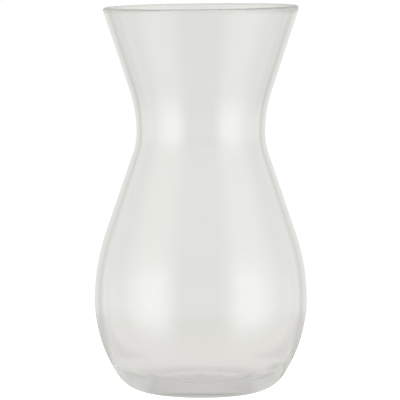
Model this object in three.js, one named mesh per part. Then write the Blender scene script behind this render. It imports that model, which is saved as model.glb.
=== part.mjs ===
// Waisted glass vase: one mould-blown piece of clear glass with a flared mouth, a narrow waist,
// a full belly and a pushed-up foot. Millimetres, +Z up, standing on z = 0 about the Z axis.
import * as THREE from "three";

// Overall size
const height = 200;

// Outside of the wall, from the mouth down. Every stretch runs into the next at a tangent.
const mouthDiameter = 100.8;
const waistDiameter = 66.4;
const waistHeight = 134.4;
const waistArcAbove = 68.7;
const waistArcBelow = 34.1;
const bellyDiameter = 110;
const bellyHeight = 47.3;
const bellyArcAbove = 107.2;
const bellyArcBelow = 70.9;
const heelRadius = 18.5;

// Glass thickness. The wall grows thicker below the belly, where it turns into the floor.
// The base is measured at the floor's lowest ring, from which the floor rises to its middle.
const wallThickness = 2.8;
const baseThickness = 4.6;
const innerBellyArcBelow = 64.5;
const innerHeelRadius = 22;
const floorRise = 3.2;

// Underside: a flat ring to stand on, round a shallow dish with the rings that chilled glass shows
const bearingWidth = 2.4;
const dishDepth = 3;
const chillRingCount = 5;
const chillRingHeight = 0.15;

// Facets: steps round the axis, how far a facet may stray from an arc, and steps across one chill ring
const turnSteps = 72;
const chordError = 0.08;
const chillRingSteps = 4;

const lipRadius = wallThickness / 2;
const waistRadius = waistDiameter / 2;
const bellyRadius = bellyDiameter / 2;

// Centres of the section's arcs, as distance from the axis and height.
// The waist's lie outside the vase, the belly's and the lip's on the wall's other side.
const lipCentre = new THREE.Vector2(mouthDiameter / 2 - lipRadius, height - lipRadius);
const waistCentreAbove = new THREE.Vector2(waistRadius + waistArcAbove, waistHeight);
const waistCentreBelow = new THREE.Vector2(waistRadius + waistArcBelow, waistHeight);
const bellyCentreAbove = new THREE.Vector2(bellyRadius - bellyArcAbove, bellyHeight);
const bellyCentreBelow = new THREE.Vector2(bellyRadius - bellyArcBelow, bellyHeight);
const innerBellyCentre = new THREE.Vector2(
  bellyRadius - wallThickness - innerBellyArcBelow,
  bellyHeight,
);

// Centre of the round corner between the lower belly and a surface at the height of the corner's foot
function cornerCentre(bellyCentre, bellyArc, cornerRadius, foot) {
  const drop = bellyCentre.y - foot - cornerRadius;
  const reach = Math.sqrt((bellyArc - cornerRadius) ** 2 - drop ** 2);
  return new THREE.Vector2(bellyCentre.x + reach, foot + cornerRadius);
}

const heelCentre = cornerCentre(bellyCentreBelow, bellyArcBelow, heelRadius, 0);
const innerHeelCentre = cornerCentre(
  innerBellyCentre,
  innerBellyArcBelow,
  innerHeelRadius,
  baseThickness,
);

// The floor's dome has its centre on the axis and runs into the inner heel at a tangent.
const domeRadius =
  (innerHeelCentre.x ** 2 + (innerHeelRadius - floorRise) ** 2 - innerHeelRadius ** 2) / (2 * floorRise);
const domeCentre = new THREE.Vector2(0, baseThickness + floorRise - domeRadius);
const domeAngle = Math.atan2(innerHeelCentre.x, innerHeelCentre.y - domeCentre.y);

// Where the straight wall between two arcs of opposite curve leaves the first one, as an angle there.
// Turn is +1 for a wall that rises from the first arc and -1 for one that falls.
function tangentAngle(centre, radius, otherCentre, otherRadius, turn) {
  const across = otherCentre.clone().sub(centre);
  return across.angle() + turn * Math.acos((radius + otherRadius) / across.length());
}

const flareAngle = tangentAngle(waistCentreAbove, waistArcAbove, lipCentre, lipRadius, 1);
const shoulderAngle = tangentAngle(waistCentreBelow, waistArcBelow, bellyCentreAbove, bellyArcAbove, -1);

// Points along an arc, both ends included
function arc(centre, radius, from, to) {
  const widestStep = 2 * Math.acos(1 - chordError / radius);
  const steps = Math.ceil(Math.abs(to - from) / widestStep);
  return Array.from({ length: steps + 1 }, (_, i) => {
    const angle = THREE.MathUtils.lerp(from, to, i / steps);
    return new THREE.Vector2(Math.cos(angle), Math.sin(angle)).multiplyScalar(radius).add(centre);
  });
}

// From an angle on the heel, round it and up the lower arc to just below the belly's widest level
function lowerWall(bellyCentre, bellyArc, corner, cornerRadius, from) {
  const meetAngle = Math.atan2(corner.y - bellyCentre.y, corner.x - bellyCentre.x);
  return [
    ...arc(corner, cornerRadius, from, meetAngle),
    ...arc(bellyCentre, bellyArc, meetAngle, 0).slice(1, -1),
  ];
}

// From the belly's widest level over the shoulder and the waist to the foot of the straight flare
function upperWall(inset) {
  return [
    ...arc(bellyCentreAbove, bellyArcAbove - inset, 0, shoulderAngle - Math.PI),
    ...arc(waistCentreBelow, waistArcBelow + inset, shoulderAngle, Math.PI),
    ...arc(waistCentreAbove, waistArcAbove + inset, Math.PI, flareAngle).slice(1),
  ];
}

// From the axis out to the standing ring: a dish whose rings die out towards its rim
function underside(dishRadius) {
  const steps = chillRingCount * chillRingSteps;
  return Array.from({ length: steps + 1 }, (_, i) => {
    const share = i / steps;
    const bowl = 1 - share ** 2;
    const wave = (1 - Math.cos(2 * Math.PI * chillRingCount * share)) / 2;
    return new THREE.Vector2(dishRadius * share, bowl * (dishDepth + chillRingHeight * wave));
  });
}

// The whole section: across the underside, up the outside, over the lip and down inside to the axis
function section() {
  const down = -Math.PI / 2;
  const outside = lowerWall(bellyCentreBelow, bellyArcBelow, heelCentre, heelRadius, down);
  const inside = lowerWall(
    innerBellyCentre,
    innerBellyArcBelow,
    innerHeelCentre,
    innerHeelRadius,
    down - domeAngle,
  );
  return [
    ...underside(heelCentre.x - bearingWidth),
    ...outside,
    ...upperWall(0),
    ...arc(lipCentre, lipRadius, flareAngle - Math.PI, flareAngle),
    ...upperWall(wallThickness).reverse(),
    ...inside.reverse(),
    ...arc(domeCentre, domeRadius, Math.PI / 2 - domeAngle, Math.PI / 2).slice(1, -1),
    new THREE.Vector2(0, baseThickness + floorRise),
  ];
}

const clearGlass = new THREE.MeshStandardMaterial({
  name: "clear_glass",
  color: 0xdedfdb,
  roughness: 0.03,
  metalness: 0,
  transparent: true,
  opacity: 0.35,
});

const glassBody = new THREE.Mesh(new THREE.LatheGeometry(section(), turnSteps), clearGlass);
glassBody.name = "glass_body";
glassBody.rotation.x = Math.PI / 2;

const vase = new THREE.Group();
vase.name = "waisted_vase";
vase.add(glassBody);

export default vase;
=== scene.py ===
import math

import bmesh
import bpy
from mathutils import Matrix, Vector, noise


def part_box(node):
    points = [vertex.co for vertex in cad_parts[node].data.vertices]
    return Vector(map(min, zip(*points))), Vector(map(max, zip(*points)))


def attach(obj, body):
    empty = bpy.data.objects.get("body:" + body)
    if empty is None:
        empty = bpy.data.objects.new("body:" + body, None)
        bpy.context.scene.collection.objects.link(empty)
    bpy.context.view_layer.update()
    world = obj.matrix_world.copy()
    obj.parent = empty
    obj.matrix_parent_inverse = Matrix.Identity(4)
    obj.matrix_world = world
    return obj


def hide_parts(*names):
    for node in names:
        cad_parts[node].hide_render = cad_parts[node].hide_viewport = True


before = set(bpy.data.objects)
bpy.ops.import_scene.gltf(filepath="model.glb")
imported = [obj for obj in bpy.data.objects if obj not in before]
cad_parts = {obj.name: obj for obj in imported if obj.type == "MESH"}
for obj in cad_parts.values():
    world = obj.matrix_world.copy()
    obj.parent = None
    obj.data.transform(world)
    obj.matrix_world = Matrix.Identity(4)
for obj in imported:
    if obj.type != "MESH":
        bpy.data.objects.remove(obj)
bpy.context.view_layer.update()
bodyLow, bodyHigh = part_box("glass_body")
print("frame loaded")


# Camera: where it stands, what it looks at and its lens, from the outline in the picture
cameraSetup = {
    "distance": 1.5750,
    "height": 0.2490,
    "lookAt": (-0.0004, 0.0, 0.0991),
    "lens": 274.6,
    "sensor": 36.0,
}


def makeCamera(setup):
    data = bpy.data.cameras.new("photoCamera")
    data.lens = setup["lens"]
    data.sensor_width = setup["sensor"]
    camera = bpy.data.objects.new("photoCamera", data)
    camera.location = (0.0, -setup["distance"], setup["height"])
    sight = Vector(setup["lookAt"]) - camera.location
    camera.rotation_euler = sight.to_track_quat("-Z", "Y").to_euler()
    bpy.context.scene.collection.objects.link(camera)
    bpy.context.scene.camera = camera


makeCamera(cameraSetup)
print("camera placed")


def addObject(name, bm):
    # turns a finished bmesh into an object of the scene
    mesh = bpy.data.meshes.new(name)
    bm.to_mesh(mesh)
    bm.free()
    made = bpy.data.objects.new(name, mesh)
    bpy.context.scene.collection.objects.link(made)
    return made


# Glass body: the section's sizes in metres, as in the solid that it stands for
glassBody = {
    "foot": bodyLow.z,
    "height": bodyHigh.z,
    "mouthRadius": 0.0504,
    "waistRadius": 0.0332,
    "waistHeight": 0.1344,
    "waistArcAbove": 0.0687,
    "waistArcBelow": 0.0341,
    "bellyRadius": bodyHigh.x,
    "bellyHeight": 0.0473,
    "bellyArcAbove": 0.1072,
    "bellyArcBelow": 0.0709,
    "heelArc": 0.0185,
    "wall": 0.0028,
    "base": 0.0046,
    "innerBellyArc": 0.0645,
    "innerHeelArc": 0.022,
    "floorRise": 0.0032,
    "standingRing": 0.0024,
    "dishDepth": 0.003,
    "chillRings": 5,
    "chillRingHeight": 0.00015,
    # the mesh
    "arcStep": math.radians(2.5),  # widest turn along an arc
    "lipStep": math.radians(6),    # and round the lip
    "longestRow": 0.00195,         # no row of the mesh is longer than this
    "ringSteps": 12,               # rows across one chill ring
    "turnSteps": 256,              # steps round the axis
    "mergeDistance": 1e-6,         # points on the axis closer than this become one
    # what the hot glass did by itself
    "rimDrop": 0.0012,             # how far the rim sinks from its right side to its left
    "rimDropFrom": 0.15,           # the sinking starts at this height
    "slipReach": 0.025,            # floor and underside are uneven out to this radius
    "floorTilt": 0.0006,           # how much higher the floor is on the right than on the left
    "floorWave": 0.0002,           # height of its low swells
    "floorWaves": 60,              # their number to a metre
    "floorSlice": 0.012,           # level at which their noise is read
    "ringWave": 0.0001,            # the same for the unevenness of the chill rings
    "ringWaves": 160,
    "ringSlice": 0.003,
}


def at(r, z):
    return Vector((r, 0.0, z))


def ray(angle):
    return at(math.cos(angle), math.sin(angle))


def runTo(bm, tip, point):
    # a straight stretch of the section, from the last point to a new one
    new = bmesh.ops.extrude_vert_indiv(bm, verts=[tip])["verts"][0]
    new.co = point
    return new


def swing(bm, tip, centre, turn, step, row):
    # a round stretch: the last point swings about a centre, anticlockwise for a positive turn
    step = min(step, row / (tip.co - centre).length)
    steps = math.ceil(abs(turn) / step)
    arc = bmesh.ops.spin(
        bm, geom=[tip], cent=centre, axis=(0, -1, 0), angle=turn, steps=steps, use_merge=False
    )
    return next(e for e in arc["geom_last"] if isinstance(e, bmesh.types.BMVert))


def angleTo(centre, point):
    return math.atan2(point.z - centre.z, point.x - centre.x)


def tangentAngle(centre, radius, other, otherRadius, side):
    # where the straight wall between two arcs of opposite curve leaves the first one
    lean = math.acos((radius + otherRadius) / (other - centre).length)
    return (angleTo(centre, other) + side * lean) % (2 * math.pi)


def cornerCentre(bellyCentre, bellyArc, corner, floor):
    # centre of the round corner between the lower belly and a level floor
    drop = bellyCentre.z - floor - corner
    return at(bellyCentre.x + math.sqrt((bellyArc - corner) ** 2 - drop ** 2), floor + corner)


def drawSection(bm, g):
    lipArc = g["wall"] / 2
    lip = at(g["mouthRadius"] - lipArc, g["height"] - lipArc)
    waistAbove = at(g["waistRadius"] + g["waistArcAbove"], g["waistHeight"])
    waistBelow = at(g["waistRadius"] + g["waistArcBelow"], g["waistHeight"])
    bellyAbove = at(g["bellyRadius"] - g["bellyArcAbove"], g["bellyHeight"])
    bellyBelow = at(g["bellyRadius"] - g["bellyArcBelow"], g["bellyHeight"])
    innerBelly = at(g["bellyRadius"] - g["wall"] - g["innerBellyArc"], g["bellyHeight"])
    heel = cornerCentre(bellyBelow, g["bellyArcBelow"], g["heelArc"], g["foot"])
    innerCorner = g["innerHeelArc"]
    innerHeel = cornerCentre(innerBelly, g["innerBellyArc"], innerCorner, g["base"])
    # the floor's dome has its centre on the axis and runs into the inner heel at a tangent
    domeArc = innerHeel.x ** 2 + (innerCorner - g["floorRise"]) ** 2 - innerCorner ** 2
    domeArc /= 2 * g["floorRise"]
    dome = at(0.0, g["base"] + g["floorRise"] - domeArc)
    domeTurn = math.atan2(innerHeel.x, innerHeel.z - dome.z)
    flare = tangentAngle(waistAbove, g["waistArcAbove"], lip, lipArc, 1)
    shoulder = tangentAngle(waistBelow, g["waistArcBelow"], bellyAbove, g["bellyArcAbove"], -1)
    step, row = g["arcStep"], g["longestRow"]

    # underside, from the axis out: a dish with chill rings, then the flat standing ring
    dishRadius = heel.x - g["standingRing"]
    tip = bm.verts.new(at(0.0, g["dishDepth"]))
    dishSteps = g["ringSteps"] * g["chillRings"]
    for i in range(1, dishSteps + 1):
        share = i / dishSteps
        wave = (1 - math.cos(2 * math.pi * g["chillRings"] * share)) / 2
        depth = (1 - share ** 2) * (g["dishDepth"] + g["chillRingHeight"] * wave)
        tip = runTo(bm, tip, at(dishRadius * share, depth))
    tip = runTo(bm, tip, at(heel.x, g["foot"]))

    # up the outside
    heelEnd = angleTo(bellyBelow, heel)
    tip = swing(bm, tip, heel, heelEnd + math.pi / 2, step, row)
    tip = swing(bm, tip, bellyBelow, -heelEnd, step, row)
    tip = swing(bm, tip, bellyAbove, shoulder - math.pi, step, row)
    tip = runTo(bm, tip, waistBelow + g["waistArcBelow"] * ray(shoulder))
    tip = swing(bm, tip, waistBelow, math.pi - shoulder, step, row)
    tip = swing(bm, tip, waistAbove, flare - math.pi, step, row)
    tip = runTo(bm, tip, lip - lipArc * ray(flare))

    # over the fire-polished lip
    tip = swing(bm, tip, lip, math.pi, g["lipStep"], row)

    # down the inside to the middle of the floor
    tip = runTo(bm, tip, waistAbove + (g["waistArcAbove"] + g["wall"]) * ray(flare))
    tip = swing(bm, tip, waistAbove, math.pi - flare, step, row)
    tip = swing(bm, tip, waistBelow, shoulder - math.pi, step, row)
    tip = runTo(bm, tip, bellyAbove - (g["bellyArcAbove"] - g["wall"]) * ray(shoulder))
    tip = swing(bm, tip, bellyAbove, math.pi - shoulder, step, row)
    innerEnd = angleTo(innerBelly, innerHeel)
    tip = swing(bm, tip, innerBelly, innerEnd, step, row)
    tip = swing(bm, tip, innerHeel, -math.pi / 2 - domeTurn - innerEnd, step, row)
    swing(bm, tip, dome, domeTurn, step, row)


def settle(bm, g):
    # the slips of a real blown vase: a rim that sinks to the left, an uneven floor, uneven rings
    for vert in bm.verts:
        x, y, z = vert.co
        lift = max(0.0, (z - g["rimDropFrom"]) / (g["height"] - g["rimDropFrom"]))
        vert.co.z -= g["rimDrop"] * lift ** 2 * (1 - x / g["mouthRadius"]) / 2
        # nearer the axis than slipReach there are only the underside and, above it, the floor
        fade = max(0.0, 1 - (math.hypot(x, y) / g["slipReach"]) ** 2)
        if z < g["base"]:
            slip = g["ringWave"] * noise.noise(Vector((x, y, g["ringSlice"])) * g["ringWaves"])
        else:
            slip = g["floorWave"] * noise.noise(Vector((x, y, g["floorSlice"])) * g["floorWaves"])
            slip += g["floorTilt"] * x / (2 * g["slipReach"])
        vert.co.z += fade * slip


def makeGlassBody(g):
    bm = bmesh.new()
    drawSection(bm, g)
    for edge in [e for e in bm.edges if e.calc_length() > g["longestRow"]]:
        cuts = math.ceil(edge.calc_length() / g["longestRow"]) - 1
        bmesh.ops.subdivide_edges(bm, edges=[edge], cuts=cuts)
    bmesh.ops.spin(
        bm, geom=bm.verts[:] + bm.edges[:], cent=(0, 0, 0), axis=(0, 0, 1),
        angle=2 * math.pi, steps=g["turnSteps"], use_merge=True,
    )
    bmesh.ops.remove_doubles(bm, verts=bm.verts, dist=g["mergeDistance"])
    settle(bm, g)
    bmesh.ops.recalc_face_normals(bm, faces=bm.faces)
    for face in bm.faces:
        face.smooth = True
    return addObject("vaseGlass", bm)


vaseGlass = makeGlassBody(glassBody)
print("glass body spun:", len(vaseGlass.data.polygons), "faces")


# Short ways to join shader nodes
def addMath(tree, operation, first, second=None):
    node = tree.nodes.new("ShaderNodeMath")
    node.operation = operation
    for socket, value in zip(node.inputs, (first, second)):
        if isinstance(value, bpy.types.NodeSocket):
            tree.links.new(value, socket)
        elif value is not None:
            socket.default_value = value
    return node.outputs["Value"]


def addRamp(tree, value, low, high, atLow=0.0, atHigh=1.0):
    # runs from atLow to atHigh between low and high, with soft ends
    node = tree.nodes.new("ShaderNodeMapRange")
    node.interpolation_type = "SMOOTHSTEP"
    node.inputs["From Min"].default_value = low
    node.inputs["From Max"].default_value = high
    node.inputs["To Min"].default_value = atLow
    node.inputs["To Max"].default_value = atHigh
    tree.links.new(value, node.inputs["Value"])
    return node.outputs["Result"]


def addWindow(tree, angle, stops):
    # 1 between the two middle angles, fading to 0 at the outer two
    stops = [math.radians(stop) for stop in stops]
    rise = addRamp(tree, angle, stops[0], stops[1])
    fall = addRamp(tree, angle, stops[3], stops[2])
    return addMath(tree, "MULTIPLY", rise, fall)


def addSplit(tree, place):
    node = tree.nodes.new("ShaderNodeSeparateXYZ")
    tree.links.new(place, node.inputs["Vector"])
    return [node.outputs[axis] for axis in "XYZ"]


def addTurn(tree, x, y):
    # angle round the axis: 0 towards the camera of the picture, positive to its right
    return addMath(tree, "ARCTAN2", x, addMath(tree, "MULTIPLY", y, -1.0))


def addDistance(tree, place, point):
    node = tree.nodes.new("ShaderNodeVectorMath")
    node.operation = "DISTANCE"
    tree.links.new(place, node.inputs[0])
    node.inputs[1].default_value = point
    return node.outputs["Value"]


def addCover(tree, share, under, colour):
    # lays a plain colour over another one by a share
    node = tree.nodes.new("ShaderNodeMix")
    node.data_type = "RGBA"
    tree.links.new(share, node.inputs["Factor"])
    tree.links.new(under, node.inputs["A"])
    node.inputs["B"].default_value = (*colour, 1)
    return node.outputs["Result"]


# Clear soda-lime glass. The melted lip and the chilled foot are less smooth than the wall.
clearGlass = {
    "ior": 1.52,
    "lipRough": 0.27,
    "lipFrom": (0.1962, 0.1978),   # heights between which the roughness grows
    "footRough": 0.1,
    "footFrom": (0.034, 0.012),
    "swells": 45.0,                # swells of the blown wall to a metre
    "swellDepth": 0.00002,
    "tint": (0.86, 0.87, 0.82, 1.0),
    "density": 2.0,
}


def makeClearGlass(g):
    material = bpy.data.materials.new("clearGlass")
    material.use_nodes = True
    tree = material.node_tree
    shader = tree.nodes["Principled BSDF"]
    shader.inputs["Base Color"].default_value = (1, 1, 1, 1)
    shader.inputs["IOR"].default_value = g["ior"]
    shader.inputs["Transmission Weight"].default_value = 1.0
    place = tree.nodes.new("ShaderNodeTexCoord").outputs["Object"]
    x, y, z = addSplit(tree, place)
    lip = addRamp(tree, z, *g["lipFrom"], 0.0, g["lipRough"])
    foot = addRamp(tree, z, *g["footFrom"], 0.0, g["footRough"])
    tree.links.new(addMath(tree, "ADD", lip, foot), shader.inputs["Roughness"])
    swell = tree.nodes.new("ShaderNodeTexNoise")
    swell.inputs["Scale"].default_value = g["swells"]
    tree.links.new(place, swell.inputs["Vector"])
    bump = tree.nodes.new("ShaderNodeBump")
    bump.inputs["Distance"].default_value = g["swellDepth"]
    tree.links.new(swell.outputs["Fac"], bump.inputs["Height"])
    tree.links.new(bump.outputs["Normal"], shader.inputs["Normal"])
    absorption = tree.nodes.new("ShaderNodeVolumeAbsorption")
    absorption.inputs["Color"].default_value = g["tint"]
    absorption.inputs["Density"].default_value = g["density"]
    output = tree.nodes["Material Output"]
    tree.links.new(absorption.outputs["Volume"], output.inputs["Volume"])
    return material


vaseGlass.data.materials.append(makeClearGlass(clearGlass))
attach(vaseGlass, "root")
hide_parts("glass_body")
print("glass finished")


# Studio: a pale room, darker and lighter parts of it behind and below the vase, and a tall soft box
# on either side. Each panel fades in and out between four azimuths, counted from the camera to the
# right (side 1), to the left (side -1) or both ways (side 0), and between four elevations, all in
# degrees. Later panels lie over earlier ones.
studio = {
    "seenWhite": (1.0, 1.0, 1.0),  # what the camera sees past the vase
    "room": (0.70, 0.69, 0.665),
    "boxThrough": 0.1,             # how much of a box shows in light that no surface mirrored
    "bounces": 256,                # light runs far along the inside of the glass
    "panels": {
        "behind": {
            "side": 0, "light": (0.63, 0.625, 0.60),
            "azimuth": (95, 130, 190, 200), "elevation": (-200, -190, 100, 110),
        },
        "behindLow": {
            "side": 0, "light": (0.50, 0.495, 0.475),
            "azimuth": (95, 130, 145, 160), "elevation": (-200, -190, -25, -5),
        },
        "frontLow": {
            "side": 0, "light": (0.38, 0.43, 0.37),
            "azimuth": (-9, -5, 95, 125), "elevation": (-200, -190, -30, -2),
        },
        "sweep": {
            "side": 0, "light": (0.77, 0.767, 0.74),
            "azimuth": (143, 160, 190, 200), "elevation": (-200, -190, 10, 26),
        },
        "leftBox": {
            "side": -1, "light": (1.44, 1.47, 1.36),
            "azimuth": (20, 50, 60, 115), "elevation": (-44, -8, 8, 58),
        },
        "rightBox": {
            "side": 1, "light": (1.60, 1.62, 1.66),
            "azimuth": (20, 50, 60, 115), "elevation": (-50, -8, 8, 58),
        },
        "rearSides": {
            "side": 0, "light": (0.80, 0.80, 0.77),
            "azimuth": (100, 112, 132, 142), "elevation": (-17, -9, 25, 35),
        },
    },
}


def makeWorld(s):
    world = bpy.data.worlds.new("studioLight")
    bpy.context.scene.world = world
    world.use_nodes = True
    tree = world.node_tree
    tree.nodes.clear()
    x, y, z = addSplit(tree, tree.nodes.new("ShaderNodeTexCoord").outputs["Generated"])
    turn = addTurn(tree, x, y)
    elevation = addMath(tree, "ARCSINE", z)
    azimuths = {
        0: addMath(tree, "ABSOLUTE", turn),
        1: turn,
        -1: addMath(tree, "MULTIPLY", turn, -1.0),
    }
    path = tree.nodes.new("ShaderNodeLightPath")
    mirrored = addRamp(tree, path.outputs["Glossy Depth"], 0, 1, s["boxThrough"], 1.0)
    light = tree.nodes.new("ShaderNodeRGB").outputs["Color"]
    light.default_value = (*s["room"], 1)
    for panel in s["panels"].values():
        across = addWindow(tree, azimuths[panel["side"]], panel["azimuth"])
        up = addWindow(tree, elevation, panel["elevation"])
        share = addMath(tree, "MULTIPLY", across, up)
        if panel["side"]:
            share = addMath(tree, "MULTIPLY", share, mirrored)
        light = addCover(tree, share, light, panel["light"])
    seen = addCover(tree, path.outputs["Is Camera Ray"], light, s["seenWhite"])
    background = tree.nodes.new("ShaderNodeBackground")
    output = tree.nodes.new("ShaderNodeOutputWorld")
    tree.links.new(seen, background.inputs["Color"])
    tree.links.new(background.outputs["Background"], output.inputs["Surface"])


# Table: a pale disc that gives off its own light, with the shadows of the vase in it, as shares of
# that light. It thins out towards its edge and is nowhere quite solid, because a place where it
# starts to let the floor through shows as a line in the glass.
tableSetup = {
    "centre": (0.0, 0.08, -0.0002),
    "radius": 0.28,
    "corners": 128,
    "solid": 0.99,
    "fade": (0.13, 0.26),          # it thins out between these distances from its centre
    "glow": (0.75, 0.74, 0.71),
    "seenStrength": 2.0,           # straight from the camera it is as white as the floor
    "nearShade": 0.76,             # how much of the glow is left under the vase
    "nearReach": (0.026, 0.050),
    "contactShade": 0.65,          # and how much of that right under the standing ring
    "contactRing": (0.024, 0.027, 0.030),
    "castShade": 0.82,             # what the vase's own shadows leave, away from either box
    "castReach": (0.055, 0.085),
    "castAzimuth": (105, 125, 142, 160),
    "spotShade": 0.55,             # a small dark shadow behind the right of the foot
    "spotCentre": (0.050, 0.020, -0.0002),
    "spotReach": (0.006, 0.016),
}


def addTableShade(tree, place, t):
    radius = addDistance(tree, place, (0, 0, 0))
    shade = addRamp(tree, radius, *t["nearReach"], t["nearShade"], 1.0)
    inner, middle, outer = t["contactRing"]
    contact = addMath(
        tree, "MAXIMUM",
        addRamp(tree, radius, inner, middle, 1.0, t["contactShade"]),
        addRamp(tree, radius, middle, outer, t["contactShade"], 1.0),
    )
    x, y, z = addSplit(tree, place)
    turn = addMath(tree, "ABSOLUTE", addTurn(tree, x, y))
    cast = addWindow(tree, turn, t["castAzimuth"])
    cast = addMath(tree, "MULTIPLY", cast, addRamp(tree, radius, *t["castReach"]))
    cast = addMath(tree, "MULTIPLY", cast, t["castShade"] - 1)
    cast = addMath(tree, "ADD", cast, 1.0)
    spot = addDistance(tree, place, t["spotCentre"])
    spot = addRamp(tree, spot, *t["spotReach"], t["spotShade"], 1.0)
    for other in (contact, cast, spot):
        shade = addMath(tree, "MULTIPLY", shade, other)
    return shade


def makeTable(t):
    bm = bmesh.new()
    bmesh.ops.create_circle(bm, cap_ends=True, segments=t["corners"], radius=t["radius"])
    bmesh.ops.translate(bm, verts=bm.verts, vec=t["centre"])
    table = addObject("table", bm)
    material = bpy.data.materials.new("paleTable")
    material.use_nodes = True
    tree = material.node_tree
    tree.nodes.clear()
    place = tree.nodes.new("ShaderNodeTexCoord").outputs["Object"]
    straight = tree.nodes.new("ShaderNodeLightPath").outputs["Is Camera Ray"]
    white = addMath(tree, "MULTIPLY", straight, t["seenStrength"])
    strength = addMath(tree, "MAXIMUM", addTableShade(tree, place, t), white)
    glow = tree.nodes.new("ShaderNodeEmission")
    glow.inputs["Color"].default_value = (*t["glow"], 1)
    tree.links.new(strength, glow.inputs["Strength"])
    edge = addDistance(tree, place, t["centre"])
    solid = addRamp(tree, edge, *t["fade"], t["solid"], 0.0)
    clear = tree.nodes.new("ShaderNodeBsdfTransparent")
    mix = tree.nodes.new("ShaderNodeMixShader")
    tree.links.new(solid, mix.inputs["Fac"])
    tree.links.new(clear.outputs["BSDF"], mix.inputs[1])
    tree.links.new(glow.outputs["Emission"], mix.inputs[2])
    output = tree.nodes.new("ShaderNodeOutputMaterial")
    tree.links.new(mix.outputs["Shader"], output.inputs["Surface"])
    table.data.materials.append(material)


# Floor: plain white, just below the table, and seen by the camera alone
floorSetup = {
    "size": 16.0,
    "level": -0.001,
    "white": (1.0, 1.0, 1.0),
}


def makeFloor(f):
    bm = bmesh.new()
    bmesh.ops.create_grid(bm, x_segments=1, y_segments=1, size=f["size"] / 2)
    bmesh.ops.translate(bm, verts=bm.verts, vec=(0, 0, f["level"]))
    floor = addObject("floor", bm)
    material = bpy.data.materials.new("whiteFloor")
    material.use_nodes = True
    tree = material.node_tree
    tree.nodes.clear()
    emission = tree.nodes.new("ShaderNodeEmission")
    emission.inputs["Color"].default_value = (*f["white"], 1)
    output = tree.nodes.new("ShaderNodeOutputMaterial")
    tree.links.new(emission.outputs["Emission"], output.inputs["Surface"])
    floor.data.materials.append(material)
    floor.visible_diffuse = False
    floor.visible_glossy = False
    floor.visible_transmission = False
    floor.visible_shadow = False


makeWorld(studio)
makeTable(tableSetup)
makeFloor(floorSetup)
scene = bpy.context.scene
scene.view_settings.view_transform = "Standard"
scene.cycles.max_bounces = studio["bounces"]
scene.cycles.transmission_bounces = studio["bounces"]
scene.cycles.glossy_bounces = studio["bounces"]
print("studio lit")
